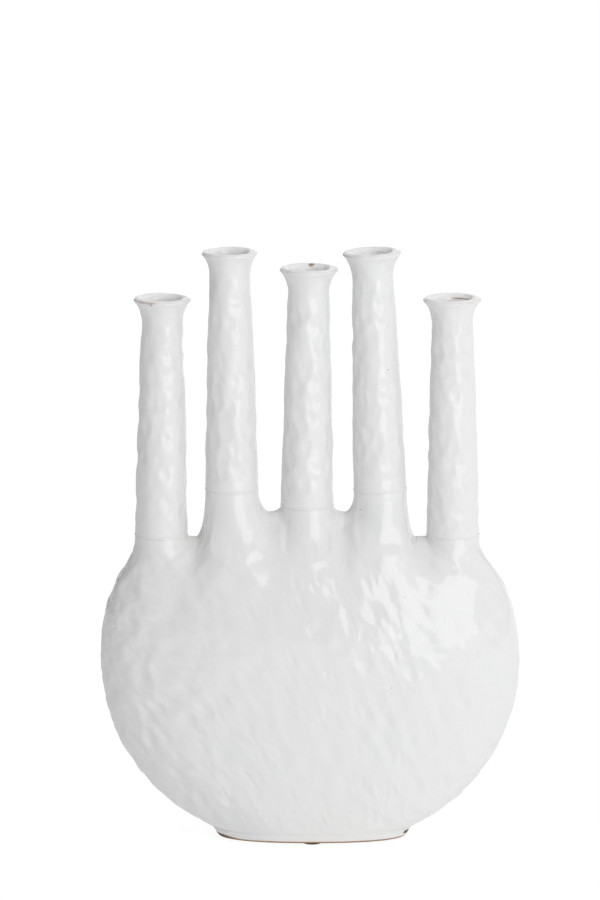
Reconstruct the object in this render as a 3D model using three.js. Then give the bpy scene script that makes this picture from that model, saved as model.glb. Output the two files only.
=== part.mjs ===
// A five-necked flower vase in white-glazed earthenware, built up from luted pieces: a hollow, flattened
// round body whose shoulders are drawn up into five short collars, five tapering necks with flared lips,
// an oval foot slab that closes the body from below, and four rubber pads under the foot.
// Millimetres, +Z up, +X to the right and -Y to the front. The origin is on the table under the middle.

import * as THREE from "three";

// The joint under a neck or the body: a film of slip. The pads lie face to face with the foot.
const seatGap = 0.3;

// Pads under the foot.
const padRadius = 7;
const padThickness = 1;
const padInset = 0.5; // from the foot's lower edge to the edge of a pad

// Foot: an oval slab that draws in towards the table, with a shallow recess below.
const footHeight = 6.5;
const footHalfWidth = 71.8; // at the top, where the body stands on it
const footHalfDepth = 32;
const footTaper = 0.95; // the lower edge as a share of the upper one
const footEdgeRound = 0.9;
const footRecess = 1.6;
const footRingMargin = 1; // of the standing ring past the pads

// Body: seen from the front and from the side, the upper half is half an ellipse, cut off by the
// shoulders, and the lower half is a little fuller than one and ends on the foot's upper edge.
const bellyHalfWidth = 150.8;
const bellyHeight = 133.5; // of the widest point
const bellyCrown = 142.5; // from the widest point up to the top of its half ellipse
const bellyHalfDepth = 52;
const deepestHeight = 119.5; // of the deepest point
const deepestCrown = 140;
const lowerFullness = 2.1; // exponent of the lower halves, where 2 is an ellipse
const bodyWall = 5.5;
const shoulderRise = 51; // from the widest point up to the line where the shoulders begin
const squareness = 2.4; // exponent of the horizontal sections: 2 is an ellipse, more is boxier
const bodyDrift = 0.0125; // sideways drift of the sections per millimetre of height

// Necks: five alike, evenly spaced but for the inner left one, each seated on a collar of the body. The
// rises are those of the seams above the shoulder line.
const neckEndMargin = 46.2; // from the belly's widest point to the axis of the outermost neck
const neckShift = -2; // of the whole row, to the left
const innerLeftShift = -1.7;
const outerNeckRise = 38;
const innerNeckRise = 71.5;
const centreNeckRise = 59.8;
const neckLength = 170.5; // from the seam to the widest point of the lip
const neckBaseRadius = 19;
const neckWaistRadius = 14.7;
const neckFullness = 0.8; // how far the taper's control point stands outside a straight line
const neckWall = 4;
const flareHeight = 17; // from the waist to the widest point of the lip
const lipRadius = 20.9;
const lipEdgeRadius = 1.4;
const throatRadius = 12.4; // where the lip's broad roll has turned down into the bore
const throatDepth = 4; // of that place below the widest point
const necks = [
  { name: "neck_outer_left", place: -2, shift: neckShift, rise: outerNeckRise, lean: 0.4 },
  { name: "neck_inner_left", place: -1, shift: neckShift + innerLeftShift, rise: innerNeckRise, lean: -0.4 },
  { name: "neck_centre", place: 0, shift: neckShift, rise: centreNeckRise, lean: 0.4 },
  { name: "neck_inner_right", place: 1, shift: neckShift, rise: innerNeckRise, lean: -2.1 },
  { name: "neck_outer_right", place: 2, shift: neckShift, rise: outerNeckRise, lean: -0.4 },
]; // places counted from the middle one, and leans to the right in degrees
const outerSaddleDrop = 1.5; // of a saddle between collars, below the lower of the two seams
const innerSaddleDrop = 5;

// How firmly the curves of a collar leave its seam and arrive below, as shares of the way they go.
const collarPull = 0.42;
const shoulderPull = 0.36;
const roundPull = 0.55; // nearly a circle's arc: for the round bottom of a saddle
const archFootPull = 0.5; // the same for an arch, from the shoulder line up to its saddle
const archTopPull = 0.2;
const flarePull = 0.35; // how firmly a neck's waist holds its upright before the flare
const flareEdgePull = 0.3; // and how firmly the flare runs straight into the lip's edge
const throatPull = 1.4; // the height of the throat's roll, as a share of the throat's depth
const cornerTurn = Math.PI / 4; // where a collar's front and back meet its sides, round the seam

// Facets.
const archSteps = 12;
const frontSteps = 6;
const endSteps = 20;
const outerBodyRows = 13;
const innerBodyRows = 8;
const outerCollarRows = 6;
const innerCollarRows = 4;
const neckSides = 24;
const outerTaperSteps = 6;
const innerTaperSteps = 4;
const flareSteps = 5;
const lipEdgeSteps = 3;
const rollSteps = 5;
const throatSteps = 2;
const footSides = 48;
const padSides = 24;

const footBottomHeight = padThickness;
const footTopHeight = footBottomHeight + footHeight;
const bodyBottomHeight = footTopHeight + seatGap;
const shoulderHeight = bellyHeight + shoulderRise;
const neckSpacing = (2 * (bellyHalfWidth - neckEndMargin)) / (necks.length - 1);
const footRingReach = padInset + 2 * padRadius + footRingMargin; // inwards from the foot's lower edge

// Colours and finishes.
const glaze = new THREE.MeshStandardMaterial({ color: 0xecebe8, roughness: 0.18, metalness: 0 });
const footClay = new THREE.MeshStandardMaterial({ color: 0xe6dfd8, roughness: 0.35, metalness: 0 });
const padRubber = new THREE.MeshStandardMaterial({ color: 0x2b272c, roughness: 0.95, metalness: 0 });

// How far below the widest point a fuller half ellipse would close, if it passes through the foot's edge.
function lowerHalfHeight(middleHeight, halfSpan, footHalfSpan) {
  const reach = middleHeight - bodyBottomHeight;
  return reach / (1 - (footHalfSpan / halfSpan) ** lowerFullness) ** (1 / lowerFullness);
}

const frontCurve = {
  halfSpan: bellyHalfWidth,
  middle: bellyHeight,
  above: bellyCrown,
  below: lowerHalfHeight(bellyHeight, bellyHalfWidth, footHalfWidth),
};
const sideCurve = {
  halfSpan: bellyHalfDepth,
  middle: deepestHeight,
  above: deepestCrown,
  below: lowerHalfHeight(deepestHeight, bellyHalfDepth, footHalfDepth),
};

// Half the span of the body at a height, on a skin that lies inset inside the outer one.
function halfSpanAt(curve, height, inset) {
  const isLower = height < curve.middle;
  const power = isLower ? lowerFullness : 2;
  const share = Math.abs(height - curve.middle) / ((isLower ? curve.below : curve.above) - inset);
  return (curve.halfSpan - inset) * (1 - share ** power) ** (1 / power);
}

function signedPower(value, power) {
  return Math.sign(value) * Math.abs(value) ** power;
}

// The middle of the body's section at a height: the body stands a little askew.
function middleOfSection(height) {
  return (bellyHeight - height) * bodyDrift;
}

// A point on the body's section at a height. The angle runs anticlockwise from the right, seen from above,
// and inset is how far the skin lies inside the outer one.
function bodyPoint(angle, height, inset) {
  const halfWidth = halfSpanAt(frontCurve, height, inset);
  const halfDepth = halfSpanAt(sideCurve, height, inset);
  return new THREE.Vector3(
    middleOfSection(height) + halfWidth * signedPower(Math.cos(angle), 2 / squareness),
    halfDepth * signedPower(Math.sin(angle), 2 / squareness),
    height,
  );
}

// The direction in which the body's skin runs down at the shoulder line.
function shoulderFall(angle, inset) {
  const step = 0.5;
  const below = bodyPoint(angle, shoulderHeight - step, inset);
  return below.sub(bodyPoint(angle, shoulderHeight, inset)).normalize();
}

// The direction in which the shoulder line itself runs, anticlockwise.
function shoulderTangent(angle, inset) {
  const step = 0.01;
  const ahead = bodyPoint(angle + step, shoulderHeight, inset);
  return ahead.sub(bodyPoint(angle - step, shoulderHeight, inset)).normalize();
}

// The angle at which the back half of the shoulder line crosses a given x.
function backAngleAt(x, inset) {
  const halfWidth = halfSpanAt(frontCurve, shoulderHeight, inset);
  const share = (x - middleOfSection(shoulderHeight)) / halfWidth;
  return Math.acos(signedPower(share, squareness / 2));
}

// Points on a cubic curve that leaves start along startPull and arrives at end along endPull.
function flowingCurve(start, startPull, end, endPull, steps) {
  const curve = new THREE.CubicBezierCurve3(
    start,
    start.clone().add(startPull),
    end.clone().sub(endPull),
    end,
  );
  return curve.getPoints(steps);
}

// Where a neck stands: the middle of its seam, its axis and the direction across it.
function neckFrame(neck) {
  const lean = THREE.MathUtils.degToRad(neck.lean);
  return {
    seam: new THREE.Vector3(neck.place * neckSpacing + neck.shift, 0, shoulderHeight + neck.rise),
    axis: new THREE.Vector3(Math.sin(lean), 0, Math.cos(lean)),
    across: new THREE.Vector3(Math.cos(lean), 0, -Math.sin(lean)),
  };
}

// The saddles between neighbouring collars: halfway between two necks, a little below the lower seam.
function saddlesBetween() {
  const saddles = [];
  for (let i = 0; i + 1 < necks.length; i += 1) {
    const left = neckFrame(necks[i]).seam;
    const right = neckFrame(necks[i + 1]).seam;
    const isOuter = i === 0 || i + 2 === necks.length;
    const drop = isOuter ? outerSaddleDrop : innerSaddleDrop;
    saddles.push({ x: (left.x + right.x) / 2, height: Math.min(left.z, right.z) - drop });
  }
  return saddles;
}

// The arch over a saddle, from the shoulder line in front to the shoulder line at the back. Each point
// comes with two directions in the skin: down the arch, and away from the collar that asks for it, which
// is to the right where side is +1 and to the left where it is -1.
function archPoints(saddle, inset, side) {
  const top = new THREE.Vector3(saddle.x, 0, saddle.height - inset);
  const halfSteps = archSteps / 2;
  const backAngle = backAngleAt(saddle.x, inset);
  const halfArch = (angle) => {
    const foot = bodyPoint(angle, shoulderHeight, inset);
    const fall = shoulderFall(angle, inset);
    const footPull = fall.clone().multiplyScalar((foot.z - top.z) * archFootPull);
    const topPull = new THREE.Vector3(0, -foot.y * archTopPull, 0);
    const curve = flowingCurve(foot, footPull, top, topPull, halfSteps);
    const footAlong = shoulderTangent(angle, inset);
    const right = new THREE.Vector3(1, 0, 0);
    if (footAlong.x < 0) footAlong.negate();
    return curve.map((point, k) => {
      const level = k / halfSteps;
      const before = curve[Math.max(k - 1, 0)];
      const after = curve[Math.min(k + 1, halfSteps)];
      const down = k === 0 ? fall : before.clone().sub(after).normalize();
      const along = footAlong.clone().lerp(right, level).normalize().multiplyScalar(side);
      return { point, down: k === halfSteps ? new THREE.Vector3() : down, along, level };
    });
  };
  return halfArch(-backAngle).concat(halfArch(backAngle).reverse().slice(1));
}

// A stretch of the shoulder line, as angles. On the long front and back the points are evenly spaced in x.
function shoulderStretch(fromX, toX, isBack, inset) {
  const angles = [];
  for (let k = 0; k <= frontSteps; k += 1) {
    const angle = backAngleAt(fromX + ((toX - fromX) * k) / frontSteps, inset);
    angles.push(isBack ? angle : 2 * Math.PI - angle);
  }
  return angles;
}

// A stretch of the shoulder line round one end of the body, as angles.
function shoulderEnd(fromAngle, toAngle) {
  const angles = [];
  for (let k = 0; k <= endSteps; k += 1) {
    angles.push(fromAngle + ((toAngle - fromAngle) * k) / endSteps);
  }
  return angles;
}

function shoulderPoints(angles, inset) {
  return angles.map((angle) => ({
    point: bodyPoint(angle, shoulderHeight, inset),
    down: shoulderFall(angle, inset),
    along: shoulderTangent(angle, inset),
    level: 0,
  }));
}

// One patch of the shoulder: the outline round its collar, anticlockwise from above. The points of each
// stretch are shared out over their part of the seam, from one corner of the collar to the next.
function patchOutline(firstTurn, stretches) {
  let turn = firstTurn;
  return stretches.flatMap(({ points, span }) => {
    const steps = points.length - 1;
    const placed = points.slice(0, -1).map((entry, k) => ({ ...entry, turn: turn + (span * k) / steps }));
    turn += span;
    return placed;
  });
}

// The outlines of the five patches of the shoulder, with the whole shoulder line, as angles: from the left
// end along the front to the right end, and home along the back.
function shoulderLayout(inset) {
  const saddles = saddlesBetween();
  const last = necks.length - 1;
  const backAngles = saddles.map((saddle) => backAngleAt(saddle.x, inset));
  const side = 2 * cornerTurn;
  const fronts = [];
  const backs = [];
  const outlines = necks.map((neck, i) => {
    const rightArch = () => ({ points: archPoints(saddles[i], inset, 1), span: side });
    const leftArch = () => ({ points: archPoints(saddles[i - 1], inset, -1).reverse(), span: side });
    const shoulder = (angles, span) => ({ points: shoulderPoints(angles, inset), span });
    if (i === 0) {
      fronts.push(shoulderEnd(backAngles[0], 2 * Math.PI - backAngles[0]));
      return patchOutline(cornerTurn, [shoulder(fronts[0], 2 * Math.PI - side), rightArch()]);
    }
    if (i === last) {
      fronts.push(shoulderEnd(-backAngles[i - 1], backAngles[i - 1]));
      return patchOutline(cornerTurn - Math.PI, [shoulder(fronts[i], 2 * Math.PI - side), leftArch()]);
    }
    fronts.push(shoulderStretch(saddles[i - 1].x, saddles[i].x, false, inset));
    backs.unshift(shoulderStretch(saddles[i].x, saddles[i - 1].x, true, inset));
    return patchOutline(cornerTurn - Math.PI, [
      shoulder(fronts[i], Math.PI - side),
      rightArch(),
      shoulder(backs[0], Math.PI - side),
      leftArch(),
    ]);
  });
  return { outlines, line: [...fronts, ...backs].flatMap((stretch) => stretch.slice(0, -1)) };
}

// The rows of one collar, from its round seam down and outwards to the outline of its patch.
function collarRows(neck, outline, radius, rowCount) {
  const { seam, axis, across } = neckFrame(neck);
  const columns = outline.map(({ point, down, along, level, turn }) => {
    const start = seam.clone().addScaledVector(across, radius * Math.cos(turn));
    start.y += radius * Math.sin(turn);
    const way = point.clone().sub(start);
    const startShare = THREE.MathUtils.lerp(collarPull, roundPull, level);
    const startPull = axis.clone().multiplyScalar(startShare * way.z);
    const endPull = down.clone().multiplyScalar(shoulderPull * way.dot(down));
    endPull.addScaledVector(along, roundPull * way.dot(along));
    return flowingCurve(start, startPull, point, endPull, rowCount);
  });
  const rows = [];
  for (let k = 0; k <= rowCount; k += 1) {
    rows.push(columns.map((column) => column[k]));
  }
  return rows;
}

// The rows of the belly, from the shoulder line down to the foot, closer together where it curves most.
function bellyRows(line, inset, rowCount) {
  const topTurn = Math.asin((shoulderHeight - bellyHeight) / bellyCrown);
  const bottomTurn = Math.asin((bodyBottomHeight - bellyHeight) / bellyCrown);
  const rows = [];
  for (let k = 0; k <= rowCount; k += 1) {
    const turn = topTurn + ((bottomTurn - topTurn) * k) / rowCount;
    const isEnd = k === 0 || k === rowCount;
    const endHeight = k === 0 ? shoulderHeight : bodyBottomHeight;
    const height = isEnd ? endHeight : bellyHeight + bellyCrown * Math.sin(turn);
    rows.push(line.map((angle) => bodyPoint(angle, height, inset)));
  }
  return rows;
}

// A closed surface, gathered as loose triangles.
class Surface {
  constructor() {
    this.corners = [];
  }

  triangle(a, b, c) {
    this.corners.push(...a.toArray(), ...b.toArray(), ...c.toArray());
  }

  // Joins each row of points to the next. Each row is a ring, anticlockwise from above, and the rows run
  // from the top of an outward-facing skin down to its bottom.
  rings(rows) {
    for (let k = 0; k + 1 < rows.length; k += 1) {
      rows[k].forEach((upper, i) => {
        const next = (i + 1) % rows[k].length;
        this.triangle(upper, rows[k + 1][i], rows[k + 1][next]);
        this.triangle(upper, rows[k + 1][next], rows[k][next]);
      });
    }
  }

  // Closes a ring with a flat cap that faces up, or down where facesDown is set.
  cap(ring, middle, facesDown) {
    ring.forEach((point, i) => {
      const next = ring[(i + 1) % ring.length];
      if (facesDown) this.triangle(middle, next, point);
      else this.triangle(middle, point, next);
    });
  }

  geometry() {
    const geometry = new THREE.BufferGeometry();
    geometry.setAttribute("position", new THREE.Float32BufferAttribute(this.corners, 3));
    geometry.computeVertexNormals();
    return geometry;
  }
}

// The two skins of the body, the outer with its faces outwards and the inner with them inwards, joined by
// a flat ring round each seam and one round the opening in the bottom.
function bodyGeometry() {
  const surface = new Surface();
  const outer = shoulderLayout(0);
  const inner = shoulderLayout(bodyWall);
  const outerBelly = bellyRows(outer.line, 0, outerBodyRows);
  const innerBelly = bellyRows(inner.line, bodyWall, innerBodyRows).reverse();
  surface.rings(outerBelly);
  surface.rings(innerBelly);
  surface.rings([outerBelly[outerBodyRows], innerBelly[0]]);
  necks.forEach((neck, i) => {
    const outerCollar = collarRows(neck, outer.outlines[i], neckBaseRadius, outerCollarRows);
    const innerRadius = neckBaseRadius - neckWall;
    const innerCollar = collarRows(neck, inner.outlines[i], innerRadius, innerCollarRows).reverse();
    surface.rings(outerCollar);
    surface.rings(innerCollar);
    surface.rings([innerCollar[innerCollarRows], outerCollar[0]]);
  });
  return surface.geometry();
}

// The foot as a stack of ovals, from the middle of its top out, down and in to the middle of its recess.
// Each oval is a share of the upper edge's, less an inset.
function footGeometry() {
  const surface = new Surface();
  const oval = (share, inset, height) => {
    const points = [];
    for (let k = 0; k < footSides; k += 1) {
      const angle = (2 * Math.PI * k) / footSides;
      points.push(
        new THREE.Vector3(
          (footHalfWidth * share - inset) * signedPower(Math.cos(angle), 2 / squareness),
          (footHalfDepth * share - inset) * signedPower(Math.sin(angle), 2 / squareness),
          height,
        ),
      );
    }
    return points;
  };
  const rings = [
    oval(1, 0, footHeight),
    oval(footTaper, 0, footEdgeRound),
    oval(footTaper, footEdgeRound, 0),
    oval(footTaper, footRingReach, 0),
    oval(footTaper, footRingReach + footRecess, footRecess),
  ];
  surface.rings(rings);
  surface.cap(rings[0], new THREE.Vector3(0, 0, footHeight), false);
  surface.cap(rings[rings.length - 1], new THREE.Vector3(0, 0, footRecess), true);
  return surface.geometry();
}

// Half a neck's section, as points from its seam up the outside, over the lip and down the bore.
function neckProfile() {
  const waistHeight = neckLength - flareHeight;
  const throatHeight = neckLength - throatDepth;
  const baseBore = neckBaseRadius - neckWall;
  const waistBore = neckWaistRadius - neckWall;
  const point = (radius, height) => new THREE.Vector2(radius, height);
  const taper = (baseRadius, waistRadius) =>
    new THREE.QuadraticBezierCurve(
      point(baseRadius, 0),
      point((baseRadius + waistRadius) / 2 + neckFullness, waistHeight / 2),
      point(waistRadius, waistHeight),
    );
  // The lip's edge is an arc, from its underside, where the flare comes in, to the roll on its top.
  const edgeMiddle = lipRadius - lipEdgeRadius;
  const edgePoint = (turn) =>
    point(edgeMiddle + lipEdgeRadius * Math.cos(turn), neckLength + lipEdgeRadius * Math.sin(turn));
  const edgeStart = -Math.PI / 4;
  const edgeEnd = Math.PI / 3;
  const edge = [];
  for (let k = 0; k <= lipEdgeSteps; k += 1) {
    edge.push(edgePoint(edgeStart + ((edgeEnd - edgeStart) * k) / lipEdgeSteps));
  }
  const along = (from, turn, distance) =>
    point(from.x - distance * Math.sin(turn), from.y + distance * Math.cos(turn));
  const flare = new THREE.CubicBezierCurve(
    point(neckWaistRadius, waistHeight),
    point(neckWaistRadius, waistHeight + flareHeight * flarePull),
    along(edge[0], edgeStart, -flareHeight * flareEdgePull),
    edge[0],
  );
  const roll = new THREE.CubicBezierCurve(
    edge[lipEdgeSteps],
    along(edge[lipEdgeSteps], edgeEnd, throatDepth),
    point(throatRadius, throatHeight + throatDepth * throatPull),
    point(throatRadius, throatHeight),
  );
  const throat = new THREE.QuadraticBezierCurve(
    point(throatRadius, throatHeight),
    point(throatRadius, (throatHeight + waistHeight) / 2),
    point(waistBore, waistHeight),
  );
  return [
    ...taper(neckBaseRadius, neckWaistRadius).getPoints(outerTaperSteps),
    ...flare.getPoints(flareSteps).slice(1, -1),
    ...edge,
    ...roll.getPoints(rollSteps).slice(1),
    ...throat.getPoints(throatSteps).slice(1),
    ...taper(baseBore, waistBore).getPoints(innerTaperSteps).reverse().slice(1),
  ];
}

function neckGeometry() {
  const profile = neckProfile();
  profile.push(profile[0].clone());
  return new THREE.LatheGeometry(profile, neckSides).rotateX(Math.PI / 2);
}

function padGeometry() {
  return new THREE.CylinderGeometry(padRadius, padRadius, padThickness, padSides).rotateX(Math.PI / 2);
}

function piece(name, geometry, material) {
  const mesh = new THREE.Mesh(geometry, material);
  mesh.name = name;
  return mesh;
}

const vase = new THREE.Group();

vase.add(piece("body", bodyGeometry(), glaze));

const foot = piece("foot", footGeometry(), footClay);
foot.position.set(middleOfSection(bodyBottomHeight), 0, footBottomHeight);
vase.add(foot);

for (const neck of necks) {
  const { seam, axis } = neckFrame(neck);
  const mesh = piece(neck.name, neckGeometry(), glaze);
  mesh.position.copy(seam).addScaledVector(axis, seatGap);
  mesh.rotation.y = THREE.MathUtils.degToRad(neck.lean);
  vase.add(mesh);
}

const padReachX = footHalfWidth * footTaper - padInset - padRadius;
const padReachY = footHalfDepth * footTaper - padInset - padRadius;
const pads = [
  { name: "pad_front", x: 0, y: -padReachY },
  { name: "pad_back", x: 0, y: padReachY },
  { name: "pad_left", x: -padReachX, y: 0 },
  { name: "pad_right", x: padReachX, y: 0 },
];
for (const pad of pads) {
  const mesh = piece(pad.name, padGeometry(), padRubber);
  mesh.position.set(foot.position.x + pad.x, pad.y, padThickness / 2);
  vase.add(mesh);
}

export default vase;
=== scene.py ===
# %% [markdown]
# # A five-necked flower vase, built up by hand and glazed white
#
# The real vase is earthenware. A flattened round body is pinched up at its shoulders into five short
# collars, a tapering neck is luted onto each collar with slip, and an oval slab closes the body from below
# and serves as its foot. Everything is dipped in a white glaze, which runs thin on the sharp edges and
# leaves the foot's lower edge bare.
#
# The solids that come with the part have the right sizes, but they are faceted. Here each one gets a fine
# skin with the marks of the maker's fingers, and materials that behave as glaze, clay and rubber do.

# %% The frame: the solids, which hold every piece's place
import math

import bmesh
import bpy
import numpy as np
from mathutils import Matrix, Vector


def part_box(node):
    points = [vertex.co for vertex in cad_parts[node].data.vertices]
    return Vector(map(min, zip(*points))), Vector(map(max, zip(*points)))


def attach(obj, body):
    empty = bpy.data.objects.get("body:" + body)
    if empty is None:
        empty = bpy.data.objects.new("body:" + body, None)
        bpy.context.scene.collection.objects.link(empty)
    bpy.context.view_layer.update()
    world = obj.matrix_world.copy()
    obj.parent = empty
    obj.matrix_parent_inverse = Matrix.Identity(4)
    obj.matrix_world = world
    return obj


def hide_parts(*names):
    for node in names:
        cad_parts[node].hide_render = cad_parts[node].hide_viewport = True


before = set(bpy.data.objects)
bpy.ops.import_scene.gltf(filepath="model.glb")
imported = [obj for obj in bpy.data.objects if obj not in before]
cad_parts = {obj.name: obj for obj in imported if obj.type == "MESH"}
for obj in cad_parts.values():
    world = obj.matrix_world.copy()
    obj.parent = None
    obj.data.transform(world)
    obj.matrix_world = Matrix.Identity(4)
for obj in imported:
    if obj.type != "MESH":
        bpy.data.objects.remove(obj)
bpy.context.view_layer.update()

mm = 0.001  # Blender works in metres, and a potter in millimetres

print("solids:", ", ".join(sorted(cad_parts)))

# %% [markdown]
# ## Node trees written as sums
#
# Both materials and Geometry Nodes are trees of nodes. They could be clicked together by hand, or built
# with a line of code for each node and each link. Here one small class stands for a socket, and Python's
# own operators add the Math nodes, so that a pattern reads as the sum that it is.


# %% A tree of nodes, and a value in it
class Value:
    """A socket that can be used in a sum."""

    def __init__(self, tree, socket):
        self.tree = tree
        self.socket = socket

    def outlet(self, name):
        """Another output of the node that this value comes out of."""
        return Value(self.tree, self.socket.node.outputs[name])

    def ramp(self, low, high):
        """0 below low, 1 above high, and a smooth rise between them, or a fall where high is the lower."""
        settings = {"interpolation_type": "SMOOTHSTEP"}
        return self.tree.node("ShaderNodeMapRange", settings, {0: self, 1: low, 2: high})

    def __add__(self, other):
        return self.tree.math("ADD", self, other)

    def __radd__(self, other):
        return self.tree.math("ADD", other, self)

    def __sub__(self, other):
        return self.tree.math("SUBTRACT", self, other)

    def __rsub__(self, other):
        return self.tree.math("SUBTRACT", other, self)

    def __mul__(self, other):
        return self.tree.math("MULTIPLY", self, other)

    def __rmul__(self, other):
        return self.tree.math("MULTIPLY", other, self)

    def __truediv__(self, other):
        return self.tree.math("DIVIDE", self, other)

    def __rtruediv__(self, other):
        return self.tree.math("DIVIDE", other, self)


class Tree:
    """A node tree, for a material or for Geometry Nodes, that nodes are added to."""

    def __init__(self, tree):
        self.tree = tree

    def node(self, kind, settings, sockets, output=0):
        """Adds a node: its settings first, then a value or a link for each socket named."""
        made = self.tree.nodes.new(kind)
        for name, setting in settings.items():
            setattr(made, name, setting)
        for key, value in sockets.items():
            if isinstance(value, Value):
                self.tree.links.new(value.socket, made.inputs[key])
            else:
                made.inputs[key].default_value = value
        return Value(self, made.outputs[output]) if made.outputs else made

    def math(self, operation, *values):
        return self.node("ShaderNodeMath", {"operation": operation}, dict(enumerate(values)))

    def vector(self, operation, *values, **sockets):
        sockets = {**dict(enumerate(values)), **sockets}
        return self.node("ShaderNodeVectorMath", {"operation": operation}, sockets, "Vector")

    def part(self, vector, axis):
        """One coordinate of a vector, X, Y or Z, as a value."""
        return self.node("ShaderNodeSeparateXYZ", {}, {"Vector": vector}).outlet(axis)

    def object_place(self):
        """The place of a point that is being coloured, on its own object."""
        return self.node("ShaderNodeTexCoord", {}, {}).outlet("Object")

    def blend(self, share, first, second):
        """A mix of two colours."""
        return self.node("ShaderNodeMix", {"data_type": "RGBA"}, {0: share, 6: first, 7: second}, output=2)

    def noise(self, place, size, detail=2.0):
        """Cloudy values round 0.5, with clouds of about that size."""
        return self.node("ShaderNodeTexNoise", {}, {"Vector": place, "Scale": 1 / size, "Detail": detail})


print("two classes for node trees")

# %% [markdown]
# ## Sizes
#
# The vase's shape follows from some thirty sizes. They could be read off the solids, but a curve can't be
# read off its facets, so the sizes are written down once more and everything below is worked out from them.

# %% The sizes of the vase
table_gap = 1 * mm  # the height of the pads under the foot
foot_height = 6.5 * mm
foot_half_width = 71.8 * mm
foot_half_depth = 32 * mm
foot_taper = 0.95  # the foot's underside, as a share of its top
seat_gap = 0.3 * mm  # the slip between two pieces

belly_half_width = 150.8 * mm
belly_height = 133.5 * mm  # of the widest point
belly_crown = 142.5 * mm  # from there to the top of its half ellipse
belly_half_depth = 52 * mm
deepest_height = 119.5 * mm
deepest_crown = 140 * mm
lower_fullness = 2.1  # exponent of the upright sections, below the widest point
squareness = 2.4  # exponent of the horizontal sections
body_wall = 5.5 * mm
body_drift = 0.0125  # sideways, for each unit of height
body_bottom = table_gap + foot_height + seat_gap
shoulder_height = belly_height + 51 * mm  # of the line that the collars grow out of
belly_centre = (0, 0, 0.13)  # the marks in the clay and in the glaze slant about this point

neck_length = 170.5 * mm
neck_base_radius = 19 * mm
neck_waist_radius = 14.7 * mm
neck_wall = 4 * mm
outer_neck_inset = 46.2 * mm  # of an outer neck's middle, from the belly's widest point
neck_spacing = (belly_half_width - outer_neck_inset) / 2
neck_shift = -2 * mm  # of the whole row, to the right
outer_rise, inner_rise, centre_rise = 38 * mm, 71.5 * mm, 59.8 * mm

# %% The seams under the five necks
# For each neck: its number in the row, its own shift to the right, its seam's rise, and its lean in degrees.
neck_row = {
    "neck_outer_left": (-2, 0, outer_rise, 0.4),
    "neck_inner_left": (-1, -1.7 * mm, inner_rise, -0.4),
    "neck_centre": (0, 0, centre_rise, 0.4),
    "neck_inner_right": (1, 0, inner_rise, -2.1),
    "neck_outer_right": (2, 0, outer_rise, -0.4),
}
seams = {}
for name, (number, own_shift, rise, lean) in neck_row.items():
    seam = np.array([number * neck_spacing + neck_shift + own_shift, 0, shoulder_height + rise])
    seams[name] = (seam, math.radians(lean))
    low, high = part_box(name)
    print(f"{name}: seam at {seam[2] / mm:.1f} mm, the solid's base at {low.z / mm:.1f} mm")

# %% [markdown]
# ## The belly
#
# From the front the belly is nearly a circle, and from the side a narrow ellipse. Each horizontal section is
# a superellipse, which is an oval with fuller ends. A potter would say that it was thrown round and pushed
# flat. A subdivided box could be pulled to this shape, but a formula gives every section exactly.


# %% Sections of the belly
def signed_power(value, power):
    return np.sign(value) * np.abs(value) ** power


def half_span(half, middle, above, foot_half, height, inset):
    """Half the belly's width or depth at a height, on a skin that lies inset inside the outer one."""
    share_below = (1 - (foot_half / half) ** lower_fullness) ** (1 / lower_fullness)
    below = (middle - body_bottom) / share_below
    power, reach = (lower_fullness, below) if height < middle else (2, above)
    share = abs(height - middle) / (reach - inset)
    return (half - inset) * (1 - share**power) ** (1 / power)


def half_width(height, inset):
    return half_span(belly_half_width, belly_height, belly_crown, foot_half_width, height, inset)


def half_depth(height, inset):
    return half_span(belly_half_depth, deepest_height, deepest_crown, foot_half_depth, height, inset)


def middle_of_section(height):
    return (belly_height - height) * body_drift


def oval(angles, half_x, half_y, middle_x, height):
    """Points on a superellipse, at angles anticlockwise from the right."""
    x = middle_x + half_x * signed_power(np.cos(angles), 2 / squareness)
    y = half_y * signed_power(np.sin(angles), 2 / squareness)
    return np.stack([x, y, np.full_like(x, height)], axis=1)


def belly_points(angles, height, inset):
    half_x, half_y = half_width(height, inset), half_depth(height, inset)
    return oval(np.asarray(angles, float), half_x, half_y, middle_of_section(height), height)


widest, deepest = 2 * half_width(belly_height, 0), 2 * half_depth(deepest_height, 0)
print(f"belly {widest / mm:.0f} mm wide and {deepest / mm:.0f} mm deep")

# %% [markdown]
# ## The shoulders
#
# The shoulders are the part that takes the most skill: the clay is drawn up into five collars, with a saddle
# between each pair. A boolean union of cones and an ellipsoid would leave creases where they meet. So each
# collar is lofted instead: from every point of its round seam a curve runs down and lands on the shoulder
# line, or on the arch over a saddle, in the direction in which the skin runs on there.


# %% Directions in the skin at the shoulder line
def unit(vectors):
    return vectors / np.linalg.norm(vectors, axis=-1, keepdims=True)


def shoulder_fall(angles, inset):
    """The direction in which the skin runs down."""
    step = 0.5 * mm
    below = belly_points(angles, shoulder_height - step, inset)
    return unit(below - belly_points(angles, shoulder_height, inset))


def shoulder_tangent(angles, inset):
    """The direction in which the shoulder line runs, anticlockwise."""
    step = 0.01
    ahead = belly_points(np.asarray(angles) + step, shoulder_height, inset)
    return unit(ahead - belly_points(np.asarray(angles) - step, shoulder_height, inset))


def back_angle(x, inset):
    """The angle at which the back half of the shoulder line crosses a given x."""
    share = (x - middle_of_section(shoulder_height)) / half_width(shoulder_height, inset)
    return np.arccos(signed_power(share, squareness / 2))


def flowing_curve(start, start_pull, end, end_pull, steps):
    """Rows of points on cubic curves that leave start along start_pull and reach end along end_pull."""
    t = np.linspace(0, 1, steps + 1)[:, None, None]
    first, second = start + start_pull, end - end_pull
    return (1 - t) ** 3 * start + 3 * (1 - t) ** 2 * t * first + 3 * (1 - t) * t**2 * second + t**3 * end


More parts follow.
